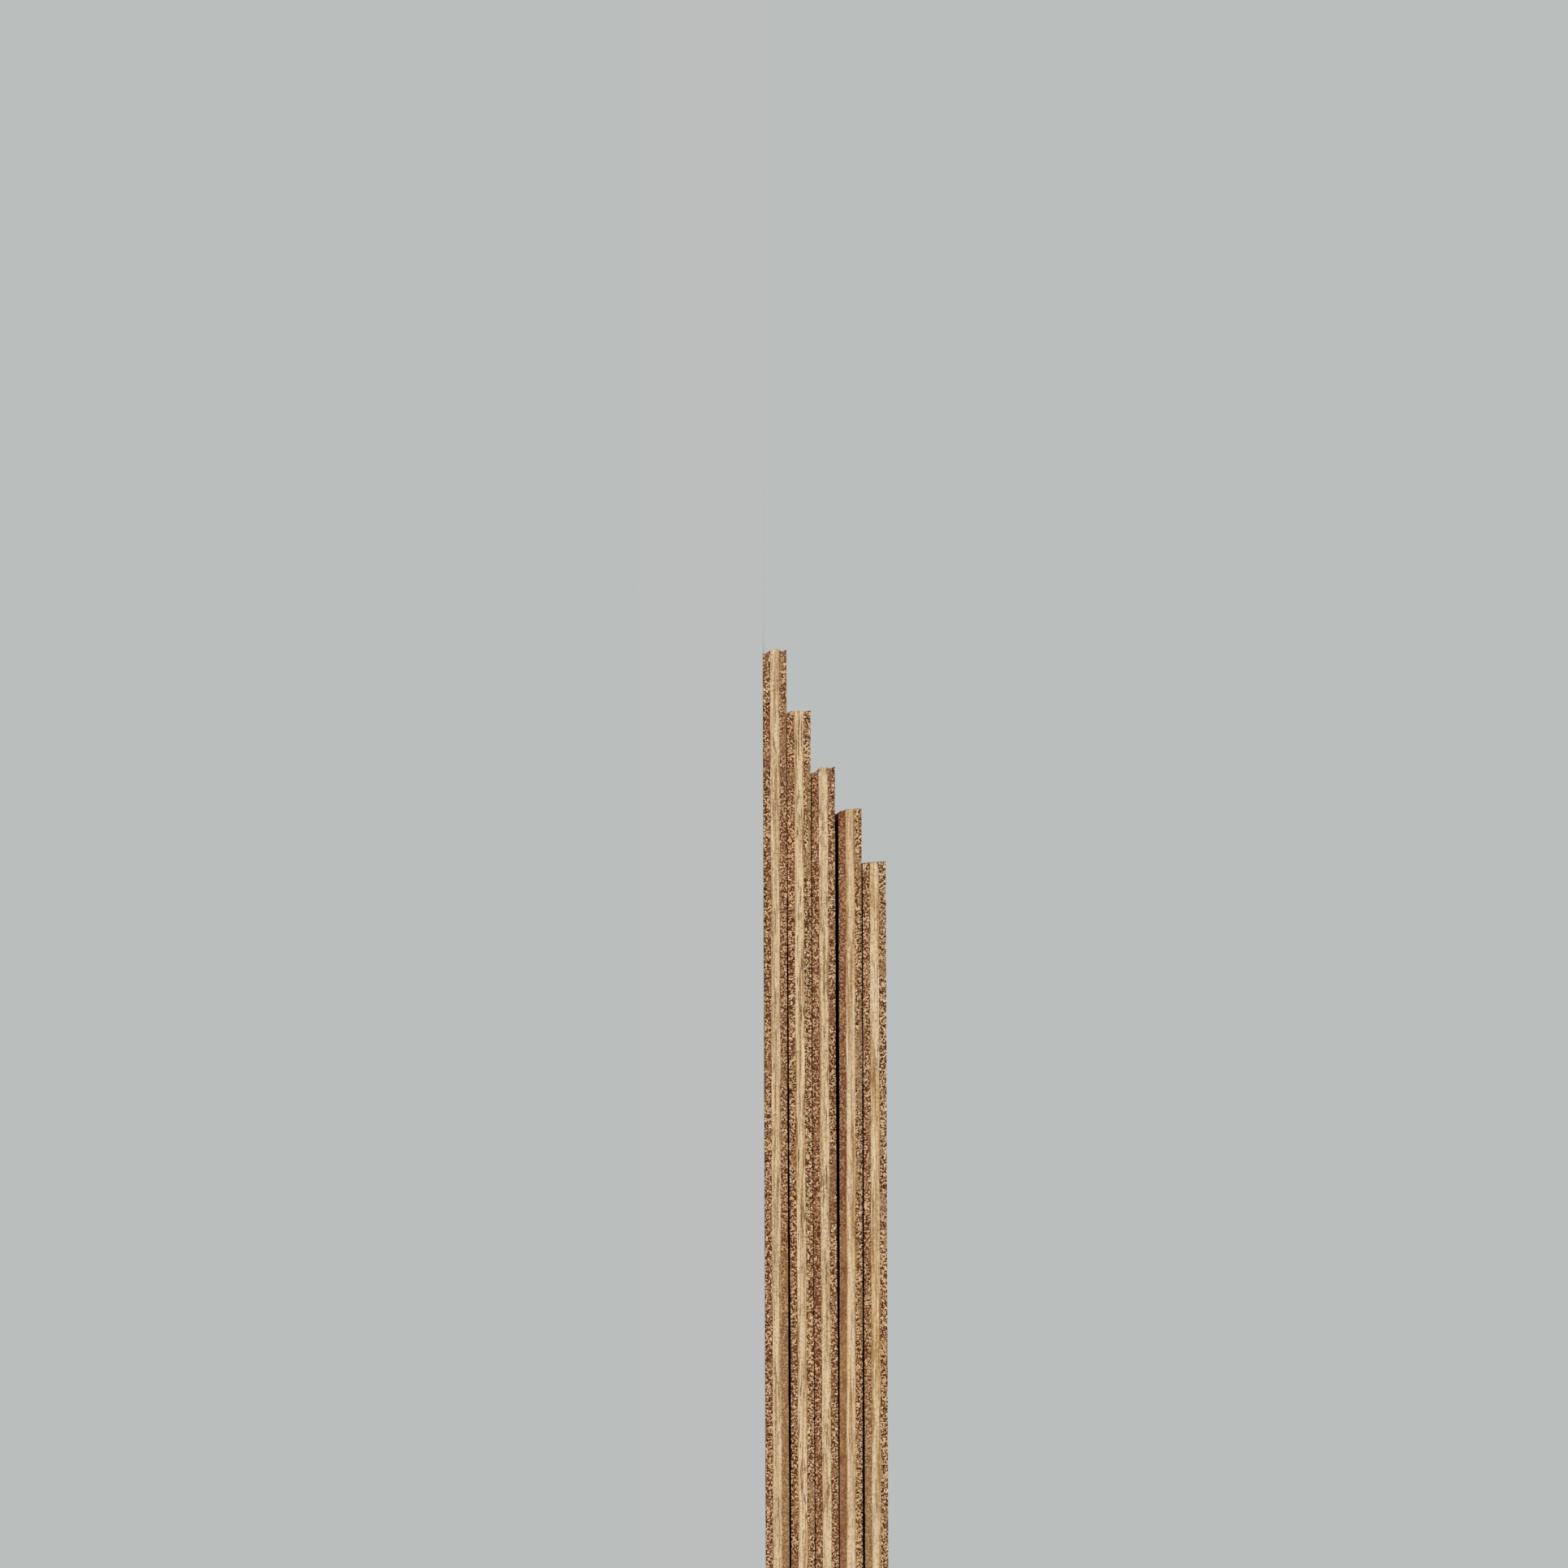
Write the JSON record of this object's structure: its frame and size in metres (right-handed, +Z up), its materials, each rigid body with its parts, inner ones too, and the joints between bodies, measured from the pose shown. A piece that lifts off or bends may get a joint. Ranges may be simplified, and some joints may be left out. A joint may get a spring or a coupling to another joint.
{
  "type": "stack of plywood sheets",
  "caption": "Small stack of thin plywood sheets lying flat, fanned into steps at one end, with red-brown face veneers, pale crossbanded cores and sawn edges.",
  "frame": {"origin": "on the floor, under the middle of the stack's footprint", "axes": "+X along the short sides of the sheets, from the fanned end to the overhanging end; +Y along the grain of the face veneers, the sheets' long side; +Z up"},
  "size_m": [0.2264, 0.3004, 0.0152],
  "materials": {
    "face_wood": "unfinished red-brown tropical hardwood veneer, open pores",
    "core_wood": "unfinished pale cream hardwood veneer, sawn along the grain"
  },
  "bodies": {
    "root": {"sheet_1_back_veneer": "face_wood", "sheet_1_core_veneer": "core_wood", "sheet_1_face_veneer": "face_wood", "sheet_2_back_veneer": "face_wood", "sheet_2_core_veneer": "core_wood", "sheet_2_face_veneer": "face_wood", "sheet_3_back_veneer": "face_wood", "sheet_3_core_veneer": "core_wood", "sheet_3_face_veneer": "face_wood", "sheet_4_back_veneer": "face_wood", "sheet_4_core_veneer": "core_wood", "sheet_4_face_veneer": "face_wood", "sheet_5_back_veneer": "face_wood", "sheet_5_core_veneer": "core_wood", "sheet_5_face_veneer": "face_wood"}
  },
  "joints": []
}
